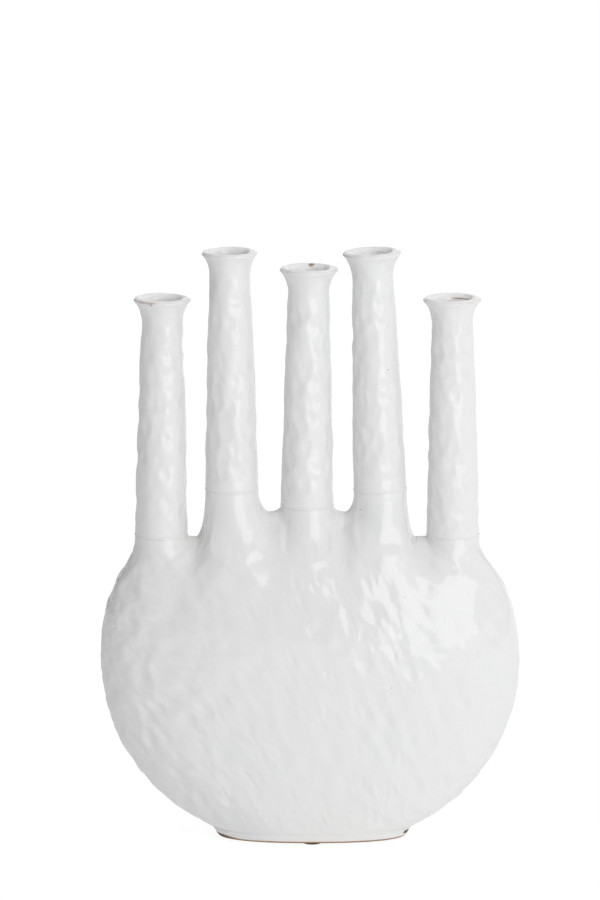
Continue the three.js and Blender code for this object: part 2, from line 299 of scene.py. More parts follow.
# %% [markdown]
# A saddle's arch climbs from the shoulder line in front, over the saddle, to the shoulder line at the back.
# Two collars share it. Each point of an outline carries what a collar's curve has to know when it lands
# there: the way down in the skin, the way along it, and how far up the arch the point is.

# %% An arch over a saddle
arch_foot_pull, arch_top_pull = 0.5, 0.2  # how far its curve is drawn out, as shares of its height and depth


def saddle_between(left, right, drop):
    return np.array([(left[0] + right[0]) / 2, 0, min(left[2], right[2]) - drop])


def arch(saddle, inset, side, steps):
    """An outline over a saddle, for the collar on its left (side 1) or on its right (side -1)."""
    top = saddle - [0, 0, inset]
    to_the_right = np.array([1.0, 0, 0])
    level = np.linspace(0, 1, steps + 1)
    crossing = float(back_angle(saddle[0], inset))
    halves = []
    for angle in (-crossing, crossing):
        foot = belly_points([angle], shoulder_height, inset)
        fall = shoulder_fall([angle], inset)
        foot_pull = fall * (foot[0, 2] - top[2]) * arch_foot_pull
        top_pull = np.array([[0, -foot[0, 1] * arch_top_pull, 0]])
        points = flowing_curve(foot, foot_pull, top[None], top_pull, steps)[:, 0]
        down = np.zeros_like(points)
        down[0] = fall[0]
        down[1:-1] = unit(points[:-2] - points[2:])
        foot_along = shoulder_tangent([angle], inset)[0]
        foot_along = foot_along * np.sign(foot_along[0])
        along = unit(foot_along + (to_the_right - foot_along) * level[:, None]) * side
        halves.append({"point": points, "down": down, "along": along, "level": level})
    front, back = halves
    whole = {key: np.concatenate([front[key], back[key][-2::-1]]) for key in front}
    return whole if side > 0 else {key: values[::-1] for key, values in whole.items()}


# %% A stretch of the shoulder line, and stretches joined to an outline
def shoulder(angles, inset):
    return {
        "point": belly_points(angles, shoulder_height, inset),
        "down": shoulder_fall(angles, inset),
        "along": shoulder_tangent(angles, inset),
        "level": np.zeros(len(angles)),
    }


def outline(first_turn, stretches):
    """Joins stretches into one ring. Each is shared out over its span of the seam, as turns."""
    joined = {"point": [], "down": [], "along": [], "level": [], "turn": []}
    turn = first_turn
    for stretch, span in stretches:
        steps = len(stretch["level"]) - 1
        for key, values in stretch.items():
            joined[key].append(values[:-1])
        joined["turn"].append(turn + span * np.arange(steps) / steps)
        turn += span
    return {key: np.concatenate(parts) for key, parts in joined.items()}


# %% [markdown]
# The whole shoulder line is divided among the five collars: the two outer ones take an end each, and the
# three inner ones a stretch in front and a stretch at the back.

# %% The four saddles
outer_drop, inner_drop = 1.5 * mm, 5 * mm  # of a saddle below the lower of its two seams
seam_points = [seam for seam, lean in seams.values()]
drops = (outer_drop, inner_drop, inner_drop, outer_drop)
saddles = [saddle_between(*pair) for pair in zip(seam_points, seam_points[1:], drops)]
print("saddles in mm:", [(round(saddle[0] / mm, 1), round(saddle[2] / mm, 1)) for saddle in saddles])

# %% The five outlines
corner_turn = math.pi / 4  # where a collar's front and back meet its sides, round the seam
side_turn = 2 * corner_turn
full_turn = 2 * math.pi
columns = {"end": 88, "front": 46, "back": 28, "arch": 20}  # quads along each kind of stretch


def shoulder_layout(inset):
    """The outlines of the five collars, and the whole shoulder line as angles, anticlockwise."""
    crossings = [float(back_angle(saddle[0], inset)) for saddle in saddles]

    def arch_over(number, side):
        """An arch over a saddle, and its span of the seam."""
        return arch(saddles[number], inset, side, columns["arch"]), side_turn

    def stretch(number, steps):
        """Angles along the back of the shoulder line, from the saddle before to this one."""
        return back_angle(np.linspace(saddles[number - 1][0], saddles[number][0], steps + 1), inset)

    left_end = np.linspace(crossings[0], full_turn - crossings[0], columns["end"] + 1)
    right_end = np.linspace(-crossings[3], crossings[3], columns["end"] + 1)
    outlines = [outline(corner_turn, [
        (shoulder(left_end, inset), full_turn - side_turn),
        arch_over(0, 1),
    ])]
    fronts, backs = [left_end], []
    for number in (1, 2, 3):
        front = full_turn - stretch(number, columns["front"])
        back = stretch(number, columns["back"])[::-1]
        fronts.append(front)
        backs.insert(0, back)
        outlines.append(outline(corner_turn - math.pi, [
            (shoulder(front, inset), math.pi - side_turn),
            arch_over(number, 1),
            (shoulder(back, inset), math.pi - side_turn),
            arch_over(number - 1, -1),
        ]))
    fronts.append(right_end)
    outlines.append(outline(corner_turn - math.pi, [
        (shoulder(right_end, inset), full_turn - side_turn),
        arch_over(3, -1),
    ]))
    return outlines, np.concatenate([line[:-1] for line in fronts + backs])


# %% [markdown]
# ## The body's mesh
#
# The rows of the belly and of the collars are stacked into grids of quads, for the outer skin and for the
# inner one, and the two skins are joined by a ring round each seam and one round the opening below. The
# ring's edge under a neck is rounded a little, as wet clay is. Two numbers go with each point. Press says how
# freely a finger could press there: it is 1 on the open skin and fades to 0 at a seam. Fold is 1 at the
# roots of the collars and beside the arches, where surfaces meet in folds that a wet sponge would soften.


# %% Rows of a collar and of the belly
# How far a collar's curves are drawn out at their ends, as shares of the way. 0.55 makes a quarter circle.
collar_pull, round_pull, shoulder_pull = 0.42, 0.55, 0.36


def neck_axis(lean):
    """The way up along a leaning neck."""
    return np.array([math.sin(lean), 0, math.cos(lean)])


def round_seam(turns, lean):
    """The ways out from the middle of a leaning neck's seam, at turns anticlockwise from the right."""
    across = np.array([math.cos(lean), 0, -math.sin(lean)])
    return np.cos(turns)[:, None] * across + np.sin(turns)[:, None] * [0, 1, 0]


def collar_rows(seam, lean, ring, radius, rows):
    """Rows from a seam down to its outline, on curves that flow on from the neck into the skin."""
    start = seam + radius * round_seam(ring["turn"], lean)
    way = ring["point"] - start
    share = collar_pull + (round_pull - collar_pull) * ring["level"][:, None]
    start_pull = neck_axis(lean) * share * way[:, 2:3]
    down, along = ring["down"], ring["along"]
    end_pull = down * shoulder_pull * (way * down).sum(1, keepdims=True)
    end_pull = end_pull + along * round_pull * (way * along).sum(1, keepdims=True)
    return flowing_curve(start, start_pull, ring["point"], end_pull, rows)


def belly_rows(line, inset, rows):
    """Rows from the shoulder line down to the foot, closer together where the belly turns in."""
    top = math.asin((shoulder_height - belly_height) / belly_crown)
    bottom = math.asin((body_bottom - belly_height) / belly_crown)
    heights = belly_height + belly_crown * np.sin(np.linspace(top, bottom, rows + 1))
    heights[0], heights[-1] = shoulder_height, body_bottom
    return np.stack([belly_points(line, height, inset) for height in heights])


# %% A number for each point of a mesh, and a mesh's measures
def write_number(mesh, label, values):
    """Keeps a number for each point, which node trees can read by its name."""
    written = mesh.attributes.new(label, "FLOAT", "POINT")
    written.data.foreach_set("value", values.astype(np.float32))


def measures(work):
    """How many edges of a bmesh don't have two faces, and its volume."""
    open_edges = sum(1 for edge in work.edges if len(edge.link_faces) != 2)
    return f"{open_edges} open edges, {work.calc_volume(signed=True) / mm**3 / 1000:.1f} cm3"


# %% A skin gathered as grids
merge_reach = 0.005 * mm


class Skin:
    """A closed surface gathered as grids of quads. Each point has two numbers, its press and its fold."""

    def __init__(self):
        self.points, self.presses, self.folds, self.quads, self.lids = [], [], [], [], []
        self.count = 0

    def add(self, points, press, fold):
        """Adds points in any layout, and returns their numbers in that layout."""
        layout = points.shape[:-1]
        numbers = self.count + np.arange(math.prod(layout)).reshape(layout)
        self.points.append(points.reshape(-1, 3))
        self.presses.append(np.broadcast_to(press, layout).reshape(-1))
        self.folds.append(np.broadcast_to(fold, layout).reshape(-1))
        self.count += numbers.size
        return numbers

    def rings(self, rows, press=0, fold=0):
        """Joins each row to the next. A row is a ring, anticlockwise from above, and the rows run down."""
        numbers = self.add(rows, press, fold)
        after = np.roll(numbers, -1, axis=1)
        quads = np.stack([numbers[:-1], numbers[1:], after[1:], after[:-1]], axis=-1)
        self.quads.append(quads.reshape(-1, 4))

    def cap(self, ring, faces_up):
        """Closes a ring with one flat face."""
        numbers = self.add(ring, 0, 0)
        self.lids.append((numbers if faces_up else numbers[::-1]).tolist())

    def mesh(self, name):
        """The mesh, with points that lie on each other merged."""
        mesh = bpy.data.meshes.new(name)
        faces = np.concatenate(self.quads).tolist() + self.lids
        mesh.from_pydata(np.concatenate(self.points).tolist(), [], faces)
        write_number(mesh, "press", np.concatenate(self.presses))
        write_number(mesh, "fold", np.concatenate(self.folds))
        work = bmesh.new()
        work.from_mesh(mesh)
        bmesh.ops.remove_doubles(work, verts=work.verts, dist=merge_reach)
        work.to_mesh(mesh)
        print(f"{name}: {len(mesh.polygons)} faces, {measures(work)}")
        work.free()
        return mesh


# %% [markdown]
# The collars meet in the saddles, and the outlines share their points there, so merging the points that lie
# on each other is all that it takes to make one watertight skin of twenty-three grids. Where the clay folds,
# below the saddles and beside them, is worked out from the distances to the saddles and to the seams.

# %% The rounded edge under a neck
seam_edge_round = 0.8 * mm


def rounded_edge(seam, lean, ring, radius, rows):
    """Rows of a quarter turn, from the flat of a seam out and down to the collar."""
    outwards = round_seam(ring["turn"], lean)
    bends = np.linspace(math.pi / 2, 0, rows + 1)[:, None, None]
    reach = radius - seam_edge_round * (1 - np.cos(bends))
    return seam + outwards * reach - neck_axis(lean) * seam_edge_round * (1 - np.sin(bends))


# %% Where the folds are
fold_reach, fold_narrowing = 83 * mm, 70 * mm  # to each side of a saddle, and how much less further up
# Each pair says where something begins and where it is whole.
fold_begins = (shoulder_height - 30 * mm, shoulder_height - 14 * mm)
fold_narrows = (shoulder_height + 4 * mm, shoulder_height + 32 * mm)
fold_depth = (5 * mm, 13 * mm)  # to the front or the back
fold_end = (98 * mm, 122 * mm)  # to the left or the right
fold_fade = (0.4, 1)  # away from a saddle, as shares of the reach
seam_spared = (3 * mm, 16 * mm)  # away from the nearest seam


def smooth_step(values, low, high):
    share = np.clip((values - low) / (high - low), 0, 1)
    return share * share * (3 - 2 * share)


def from_seams(points):
    """How far points are from the nearest neck's seam, which is a circle."""
    lengths = []
    for seam, lean in seams.values():
        axis = neck_axis(lean)
        along = (points - seam) @ axis
        out = np.linalg.norm(points - seam - along[..., None] * axis, axis=-1) - neck_base_radius
        lengths.append(np.hypot(along, out))
    return np.min(lengths, axis=0)


def folded(points):
    """1 where the collars grow out of the belly and beside the arches over the saddles, and 0 elsewhere."""
    x, y, z = points[:, :, 0], np.abs(points[:, :, 1]), points[:, :, 2]
    away = np.min([np.abs(x - saddle[0]) for saddle in saddles], axis=0)
    reach = fold_reach - fold_narrowing * smooth_step(z, *fold_narrows)
    beside = 1 - smooth_step(away / reach, *fold_fade)
    broadside = smooth_step(y, *fold_depth) * (1 - smooth_step(np.abs(x), *fold_end))
    return beside * smooth_step(z, *fold_begins) * broadside * smooth_step(from_seams(points), *seam_spared)


# %% The body's mesh
seam_calm = 12 * mm  # how far below a seam the finger marks begin in full
foot_calm = 9 * mm  # how far above the foot
belly_count, collar_count, seam_count = 168, 25, 3  # rows of quads
inner_belly_count, bore_count = 12, 4  # and on the inner skin, which hardly shows


def body_mesh():
    skin = Skin()
    outlines, line = shoulder_layout(0)
    inner_outlines, inner_line = shoulder_layout(body_wall)
    outside = belly_rows(line, 0, belly_count)
    inside = belly_rows(inner_line, body_wall, inner_belly_count)[::-1]
    press = smooth_step(outside[:, :, 2], body_bottom, body_bottom + foot_calm)
    skin.rings(outside, press, folded(outside))
    skin.rings(inside)
    skin.rings(np.stack([outside[-1], inside[0]]))
    for (seam, lean), ring, inner_ring in zip(seams.values(), outlines, inner_outlines):
        axis = neck_axis(lean)
        edge = rounded_edge(seam, lean, ring, neck_base_radius, seam_count)
        collar = collar_rows(seam - axis * seam_edge_round, lean, ring, neck_base_radius, collar_count)
        bore = collar_rows(seam, lean, inner_ring, neck_base_radius - neck_wall, bore_count)[::-1]
        depth = ((seam - collar) * axis).sum(-1)
        skin.rings(edge)
        skin.rings(collar, smooth_step(depth, 0, seam_calm), folded(collar))
        skin.rings(bore)
        skin.rings(np.stack([bore[-1], edge[0]]))
    return skin.mesh("vase_body")


smooth_body = body_mesh()

# %% [markdown]
# ## Geometry Nodes for what follows a rule
#
# Four things on this vase follow a rule: the marks of the fingers follow the skin, a neck is a profile turned
# on the wheel, the slip follows each seam, and the grains of dirt sit upright on the glaze. Modifiers or mesh
# code could do these too, but a Geometry Nodes tree keeps each rule in one place, with its sizes as named
# inputs, and every piece can have its own values.


# %% Building a tree
input_kinds = {float: "NodeSocketFloat", int: "NodeSocketInt", tuple: "NodeSocketVector"}


def geometry_tree(name, sizes):
    """A tree with a geometry input, a named input for each size and one for the material."""
    group = bpy.data.node_groups.new(name, "GeometryNodeTree")
    group.interface.new_socket("Geometry", in_out="INPUT", socket_type="NodeSocketGeometry")
    for label, value in sizes.items():
        socket = group.interface.new_socket(label, in_out="INPUT", socket_type=input_kinds[type(value)])
        socket.default_value = value
    group.interface.new_socket("Material", in_out="INPUT", socket_type="NodeSocketMaterial")
    group.interface.new_socket("Geometry", in_out="OUTPUT", socket_type="NodeSocketGeometry")
    tree = Tree(group)
    return tree, tree.node("NodeGroupInput", {}, {})


def close_tree(tree, inlet, geometry):
    """Ends a tree: real geometry, shaded smooth, with its material."""
    real = tree.node("GeometryNodeRealizeInstances", {}, {"Geometry": geometry})
    smooth = tree.node("GeometryNodeSetShadeSmooth", {}, {"Geometry": real})
    finish = {"Geometry": smooth, "Material": inlet.outlet("Material")}
    painted = tree.node("GeometryNodeSetMaterial", {}, finish)
    tree.node("NodeGroupOutput", {}, {"Geometry": painted})


# %% Running a tree
def new_object(name, data):
    """An object in the scene, with this mesh, lamp or camera."""
    made = bpy.data.objects.new(name, data)
    bpy.context.scene.collection.objects.link(made)
    return made


def run_tree(name, mesh, tree, material, **sizes):
    """Runs a tree on a mesh, and returns the result as an object with a plain mesh."""
    base = new_object("base", mesh)
    modifier = base.modifiers.new("tree", "NODES")
    modifier.node_group = tree.tree
    values = {label.replace("_", " ").capitalize(): value for label, value in sizes.items()}
    values["Material"] = material
    for socket in tree.tree.interface.items_tree:
        if socket.in_out == "INPUT" and socket.name in values:
            modifier[socket.identifier] = values.pop(socket.name)
    assert not values, f"no input for {sorted(values)}"
    depsgraph = bpy.context.evaluated_depsgraph_get()
    made = bpy.data.meshes.new_from_object(base.evaluated_get(depsgraph), depsgraph=depsgraph)
    base.modifiers.remove(modifier)
    bpy.data.objects.remove(base)
    made.name = name
    return new_object(name, made)


# %% Seating a piece in the frame
def settle(piece, slot, *nodes):
    """Seats a finished piece in the frame, in place of its CAD nodes."""
    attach(piece, "root")
    if nodes:
        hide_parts(*nodes)
    work = bmesh.new()
    work.from_mesh(piece.data)
    faces, size = len(piece.data.polygons), [round(side / mm, 1) for side in piece.dimensions]
    print(f"{piece.name}: {faces} faces, {size} mm, {measures(work)}")
    work.free()


# %% [markdown]
# ## Marks of the fingers
#
# Wet clay keeps the mark of every fingertip as a shallow hollow, longer than it is wide, with a soft ridge
# where two of them meet. Smooth Voronoi cells have that shape: their distance rises from the middle of a
# cell to its rim. The cells are stretched along the strokes and slanted, a broad noise makes some strokes
# firmer than others, and a stretched noise smears the clay between them. The marks can be fainter in the
# middle of the front. A last noise lets the whole wall bulge and sink a little. Before all that, a wet
# sponge goes over the folds at the roots of the collars.


# %% The sponge, as a step in a tree
def number_on_mesh(tree, name):
    return tree.node("GeometryNodeInputNamedAttribute", {"data_type": "FLOAT"}, {"Name": name})


def sponge(tree, inlet, geometry):
    """Moves the points of a fold to where the skin round them is on average."""
    place = tree.node("GeometryNodeInputPosition", {}, {})
    even = tree.node("GeometryNodeBlurAttribute", {"data_type": "FLOAT_VECTOR"},
                     {"Value": place, "Iterations": inlet.outlet("Sponge passes")})
    way = tree.vector("SUBTRACT", even, place)
    offset = tree.vector("SCALE", way, Scale=number_on_mesh(tree, "fold"))
    return tree.node("GeometryNodeSetPosition", {}, {"Geometry": geometry, "Offset": offset})


# %% The finger marks, as a step in a tree
seed_way = (3.7, 7.1, 5.3)  # how far the marks move with each seed, in cells
seed_step = 0.1  # and the noises, in metres, for each of those cells
tip_softness = 0.4  # how smoothly one fingertip's mark runs into the next
tip_rim = (0.05, 0.8)  # from the bottom of a mark to its rim, in cells
light_press = 0.4  # the depth of the lightest marks, as a share of the firmest
firm_size, firm_span = 28 * mm, (0.32, 0.58)
smear_share = (0.45, 0.45, 0.95)  # the size of a smear, as shares of a fingertip's mark
few_smears, few_size, few_span = 0.25, 18 * mm, (0.38, 0.56)
fewer_right, fewer_middle = 0.9, 0.12  # smears are rarer there: by this for each metre, and in the middle
calm_centre, calm_reach = -15 * mm, 75 * mm  # where the front is calmest, and where that ends
usual_mark = 0.12  # the average depth of the marks, by which the wall keeps its place


def slanted_cells(tree, place, slant, size, away):
    """Places counted in cells of that size, which are slanted to the left about the belly's centre."""
    turned = tree.node("ShaderNodeVectorRotate", {"rotation_type": "Y_AXIS"},
                       {"Vector": place, "Center": belly_centre, "Angle": slant})
    return tree.vector("ADD", tree.vector("DIVIDE", turned, size), away)


def finger_marks(tree, inlet, geometry):
    """Presses marks into the skin, and keeps their depth for the glaze as the number hollow."""
    place = tree.node("GeometryNodeInputPosition", {}, {})
    across = tree.part(place, "X")
    slant = inlet.outlet("Slant") + inlet.outlet("Swirl") * across
    away = tree.vector("SCALE", seed_way, Scale=inlet.outlet("Seed"))
    seeded = tree.vector("ADD", place, tree.vector("SCALE", away, Scale=seed_step))

    stroke = inlet.outlet("Stroke")
    tips = slanted_cells(tree, place, slant, stroke, away)
    tips = tree.node("ShaderNodeTexVoronoi", {"feature": "SMOOTH_F1"},
                     {"Vector": tips, "Scale": 1.0, "Smoothness": tip_softness})
    smears = slanted_cells(tree, place, slant, tree.vector("MULTIPLY", stroke, smear_share), away)
    smears = tree.noise(smears, 1.0).ramp(0.3, 0.7) - 0.5
    firm = tree.noise(seeded, firm_size).ramp(*firm_span)

    aside = across - calm_centre
    middle = 1 - (aside * aside).ramp(0, calm_reach**2)
    few = (tree.noise(seeded, few_size) - fewer_right * across - fewer_middle * middle).ramp(*few_span)
    mark = (1 - tips.ramp(*tip_rim)) * (light_press + (1 - light_press) * firm)
    mark = mark * (1 - inlet.outlet("Calm middle") * middle)
    mark = mark + inlet.outlet("Smear") * (few_smears + (1 - few_smears) * few) * smears

    press = number_on_mesh(tree, "press")
    kept = tree.node("GeometryNodeStoreNamedAttribute", {"data_type": "FLOAT", "domain": "POINT"},
                     {"Geometry": geometry, "Name": "hollow", "Value": mark * press})
    sway = tree.noise(seeded, inlet.outlet("Sway size"), detail=1.0) - 0.5
    shift = press * (sway * 2 * inlet.outlet("Sway") - (mark - usual_mark) * inlet.outlet("Depth"))
    normal = tree.node("GeometryNodeInputNormal", {}, {})
    return tree.node("GeometryNodeSetPosition", {},
                     {"Geometry": kept, "Offset": tree.vector("SCALE", normal, Scale=shift)})


# %% A tree that presses a skin
marks = {
    "Depth": 0.9 * mm, "Stroke": (12 * mm, 12 * mm, 17 * mm), "Smear": 0.15, "Calm middle": 0.0,
    "Slant": 0.0, "Swirl": 0.0, "Sway": 0.5 * mm, "Sway size": 45 * mm, "Seed": 1.0,
}
pressed, inlet = geometry_tree("Pressed skin", {"Sponge passes": 0, **marks})
close_tree(pressed, inlet, finger_marks(pressed, inlet, sponge(pressed, inlet, inlet)))
print("inputs:", ", ".join(marks))

# %% [markdown]
# ## The white glaze
#
# The glaze is a thin coat of white glass over a red clay. It is shiny, a little uneven in its gloss, cooler
# and denser where it pooled in the hollows, warmer where it ran thin. Where it pulled away, on the foot's
# lower edge and here and there on a lip, the clay shows. A painted texture could hold all this, but a
# pattern worked out from the place on the object has no seams and no end of detail. The colour of each point
# comes from noises, and from numbers on the mesh: hollow, left by the finger marks, one for bare clay and
# painted shade, and one that is 1 in the necks, where the glaze was poured in and lies thick and white. There
# it is made whiter still, as painted light in the shaded bores. The number for bare clay also paints shade:
# a darker clay at the foot's left end, a dark mark on its right end, and dark lines in the throats.


# %% Material helpers
def new_material(name):
    material = bpy.data.materials.new(name)
    material.use_nodes = True
    material.node_tree.nodes.clear()
    return material, Tree(material.node_tree)


def finish_material(tree, sockets):
    """A Principled surface with these sockets, joined to the material's output."""
    surface = tree.node("ShaderNodeBsdfPrincipled", {}, sockets)
    tree.node("ShaderNodeOutputMaterial", {}, {"Surface": surface})


def attribute(tree, name):
    return tree.node("ShaderNodeAttribute", {"attribute_name": name}, {}).outlet("Fac")


def bump(tree, height, distance, strength):
    return tree.node("ShaderNodeBump", {}, {"Height": height, "Distance": distance, "Strength": strength})


# %% Glaze, with the bare clay where it pulled away, and painted light and shade
cool_white = (0.812, 0.818, 0.815, 1)
warm_white = (0.820, 0.815, 0.808, 1)
# thick glaze inside the necks, made whiter than the rest as painted light in the shaded bores
poured_and_lit_white = (0.93, 0.925, 0.92, 1)
thin_glaze = (0.70, 0.60, 0.545, 1)
bare_clay = (0.36, 0.235, 0.15, 1)
# painted shade at the foot's left end, and a dark mark at one place on its right end
dark_mark_and_shade = (0.055, 0.05, 0.05, 1)
iron_speck = (0.34, 0.30, 0.26, 1)
# The number for bare clay and painted shade, made ragged by a fine noise, says what shows: between which
# values each takes over.
raggedness, ragged_size = 0.5, 2.2 * mm
thin_span, clay_span, dark_mark_and_shade_span = (0.25, 0.6), (0.5, 0.7), (1.05, 1.9)
warm_size, warm_span = 55 * mm, (0.35, 0.65)
hollow_cool = 0.5  # how much cooler the glaze is in a full hollow
speck_spacing, speck_rim, speck_strength = 11 * mm, (0.035, 0.02), 0.5
ripple_size, ripple_height = 4 * mm, 0.05  # heights and depths are in mm
grain_size, grain_height = 0.5 * mm, 0.04
scratch_size, scratch_span, scratch_depth = (3.5 * mm, 3.5 * mm, 11 * mm), (0.54, 0.72), 0.07
scratch_slant, scratch_swirl, scratch_seed = math.radians(30), math.radians(150), (1.3, 2.7, 0.4)
scratched_size, scratched_span = 16 * mm, (0.46, 0.6)  # of the patches that have scratches at all
gloss_size, glaze_roughness, gloss_change = 14 * mm, 0.09, 0.06
clay_roughness = 0.55  # more than the glaze's


def glaze_material():
    material, tree = new_material("white_glaze")
    place = tree.object_place()
    hollow, bare_and_shade = attribute(tree, "hollow"), attribute(tree, "bare_and_shade")
    ragged = tree.noise(place, ragged_size, detail=4.0) - 0.5
    ragged = bare_and_shade + raggedness * ragged * bare_and_shade.ramp(0, 0.2)

    warmth = tree.noise(place, warm_size).ramp(*warm_span) * (1 - hollow_cool * hollow)
    # inside the necks the glaze is whiter: painted light in the shaded bores
    white = tree.blend(attribute(tree, "poured_and_lit"), tree.blend(warmth, cool_white, warm_white), poured_and_lit_white)
    thinned = tree.blend(ragged.ramp(*thin_span), white, thin_glaze)
    specks = tree.node("ShaderNodeTexVoronoi", {}, {"Vector": place, "Scale": 1 / speck_spacing})
    speckled = tree.blend(specks.ramp(*speck_rim) * speck_strength, thinned, iron_speck)
    # above 1 the clay darkens: painted shade at the foot's left end, and a dark mark at its right end
    clay = tree.blend(ragged.ramp(*dark_mark_and_shade_span), bare_clay, dark_mark_and_shade)
    dull = ragged.ramp(*clay_span)
    colour = tree.blend(dull, speckled, clay)

    slant = scratch_slant - scratch_swirl * tree.part(place, "X")
    few = tree.noise(place, scratched_size, detail=1.0).ramp(*scratched_span)
    scratches = tree.noise(slanted_cells(tree, place, slant, scratch_size, scratch_seed), 1.0)
    scratches = scratches.ramp(*scratch_span) * few
    grain = tree.noise(place, grain_size, detail=4.0) * dull
    ripples = tree.noise(place, ripple_size)
    height = ripple_height * ripples + grain_height * grain - scratch_depth * scratches
    rough = glaze_roughness + gloss_change * tree.noise(place, gloss_size) + clay_roughness * dull
    finish_material(tree, {"Base Color": colour, "Roughness": rough, "IOR": 1.5,
                           "Normal": bump(tree, height, mm, 1.0)})
    return material


white_glaze = glaze_material()


# %% [markdown]
# ## Rubber and dirt
#
# The pads are dark rubber, nearly black and quite matt. The grains in the pinholes are a dull dark grey.
# Both could be one flat colour each, but a fine noise between two shades looks more like the real thing.

# %% Rubber and dirt
rubber_shades = (0.022, 0.020, 0.024, 1), (0.040, 0.036, 0.042, 1)
dirt_shades = (0.07, 0.065, 0.06, 1), (0.16, 0.15, 0.14, 1)


def rubber_material():
    material, tree = new_material("pad_rubber")
    grain = tree.noise(tree.object_place(), 0.8 * mm, detail=5.0)
    colour = tree.blend(grain.ramp(0.3, 0.7), *rubber_shades)
    finish_material(tree, {"Base Color": colour, "Roughness": 0.7 + 0.2 * grain,
                           "Normal": bump(tree, grain, 0.05 * mm, 0.6)})
    return material


def dirt_material():
    material, tree = new_material("pinhole_dirt")
    grain = tree.noise(tree.object_place(), 0.6 * mm)
    colour = tree.blend(grain.ramp(0.3, 0.7), *dirt_shades)
    finish_material(tree, {"Base Color": colour, "Roughness": 0.6})
    return material


pad_rubber = rubber_material()
pinhole_dirt = dirt_material()
print("materials:", ", ".join(material.name for material in (white_glaze, pad_rubber, pinhole_dirt)))

# %% [markdown]
# ## The body
#
# The smooth skin goes through the tree of finger marks. They could be sculpted one by one with a brush, but
# then they would be lost each time a size changes. The body's marks are broad and slanted, more on the left
# than on the right, as if by a hand that worked its way round the belly.

# %% The body
vase_body = run_tree(
    "vase_body", smooth_body, pressed, white_glaze,
    sponge_passes=120, depth=1.45 * mm, stroke=(13 * mm, 13 * mm, 18 * mm), smear=0.5, calm_middle=0.55,
    slant=math.radians(28), swirl=math.radians(-150), sway=0.8 * mm, sway_size=50 * mm, seed=9.0,
)
settle(vase_body, "glaze", "body")

# %% [markdown]
# ## The foot
# The foot is an oval slab cut with a knife: a flat top that the body stands on, a side that draws in, a soft
# lower edge and a shallow recess, so that it stands on a ring. A bevelled oval would come close, but a stack
# of ovals gives each height its own width. A number for bare clay says where the glaze was wiped off, at the
# lower edge and below it. The same number paints shade: the clay is darker at the left end, where a shadow
# falls, and there is a dark mark at one place on the right end.

# %% The foot's mesh
foot_edge_round = 0.9 * mm
foot_top_round = 0.6 * mm
foot_recess = 1.6 * mm
foot_ring = 15.5 * mm  # from the lower edge inwards
recess_inset = 29 * mm  # of the last ring in the recess, which a flat face closes
top_insets = (30 * mm, 18 * mm, 8 * mm, 3 * mm)  # of the rings on the flat top
top_count, side_count, edge_count, ring_count = 5, 14, 7, 8  # rows in each stretch, from the top down
side_press = 0.5  # fingers pressed the cut side half as freely as the body


def foot_mesh():
    angles = np.linspace(0, full_turn, 360, endpoint=False)
    middle = middle_of_section(body_bottom)

    def row(share, inset, height):
        half_x, half_y = foot_half_width * share - inset, foot_half_depth * share - inset
        return oval(angles, half_x, half_y, middle, table_gap + height)

    def side_share(height):
        return foot_taper + (1 - foot_taper) * height / foot_height

    rows = [row(1, inset, foot_height) for inset in top_insets]
    for bend in np.linspace(0, math.pi / 2, top_count):
        inset = foot_top_round * (1 - math.sin(bend))
        rows.append(row(1, inset, foot_height - foot_top_round * (1 - math.cos(bend))))
    for height in np.linspace(foot_height - foot_top_round, foot_edge_round, side_count)[1:-1]:
        rows.append(row(side_share(height), 0, height))
    for bend in np.linspace(0, math.pi / 2, edge_count):
        inset = foot_edge_round * (1 - math.cos(bend))
        rows.append(row(foot_taper, inset, foot_edge_round * (1 - math.sin(bend))))
    for inset in np.linspace(foot_edge_round, foot_ring, ring_count)[1:]:
        rows.append(row(foot_taper, inset, 0))
    rows.append(row(foot_taper, foot_ring + foot_recess, foot_recess))
    rows.append(row(foot_taper, recess_inset, foot_recess))
    rows = np.stack(rows)
    skin = Skin()
    outer_side = (rows[:, :, 2] > table_gap) & (rows[:, :, 2] < table_gap + foot_height)
    skin.rings(rows, np.where(outer_side, side_press, 0.0))
    skin.cap(rows[0], True)
    skin.cap(rows[-1], False)
    return skin.mesh("vase_foot")


vase_foot = run_tree(
    "vase_foot", foot_mesh(), pressed, white_glaze,
    depth=0.3 * mm, stroke=(11 * mm, 11 * mm, 8 * mm), sway=0.4 * mm, seed=11.0,
)

# %% Bare clay on the foot, and painted shade at its left end
bare_line, glaze_line = 0.7 * mm, 2.2 * mm  # above the foot's underside: all is bare, and all is glazed
left_end = (-66 * mm, -48 * mm)
left_rise = 1.6 * mm  # how much higher both lines are at the left end
# painted shade: the clay is darker at the left end, where a shadow falls
left_painted_shade = 0.7  # how much darker the clay is there
dark_mark = np.array([68.5, -8, 5.2]) * mm  # the dark mark on the foot's right end
dark_mark_size = np.array([4, 8, 2.4]) * mm
dark_mark_strength = 3


def mark_bare_and_shade(piece, bare_and_shade):
    """Writes a number for bare clay and painted shade to each point, worked out by a function from the
    points' places.
    """
    corners = np.array([vertex.co for vertex in piece.data.vertices])
    write_number(piece.data, "bare_and_shade", bare_and_shade(corners))


def foot_bareness_and_shade(corners):
    """Bare below the glaze line, with painted shade at the left end, and a dark mark at one place on the
    right end.
    """
    height = corners[:, 2] - table_gap
    left = 1 - smooth_step(corners[:, 0], *left_end)
    bare_and_shade = 1 - smooth_step(height - left_rise * left, bare_line, glaze_line)
    from_dark_mark = np.linalg.norm((corners - dark_mark) / dark_mark_size, axis=1)
    return bare_and_shade * (1 + left_painted_shade * left) + dark_mark_strength * (1 - smooth_step(from_dark_mark, 0.4, 1))


mark_bare_and_shade(vase_foot, foot_bareness_and_shade)
settle(vase_foot, "foot", "foot")

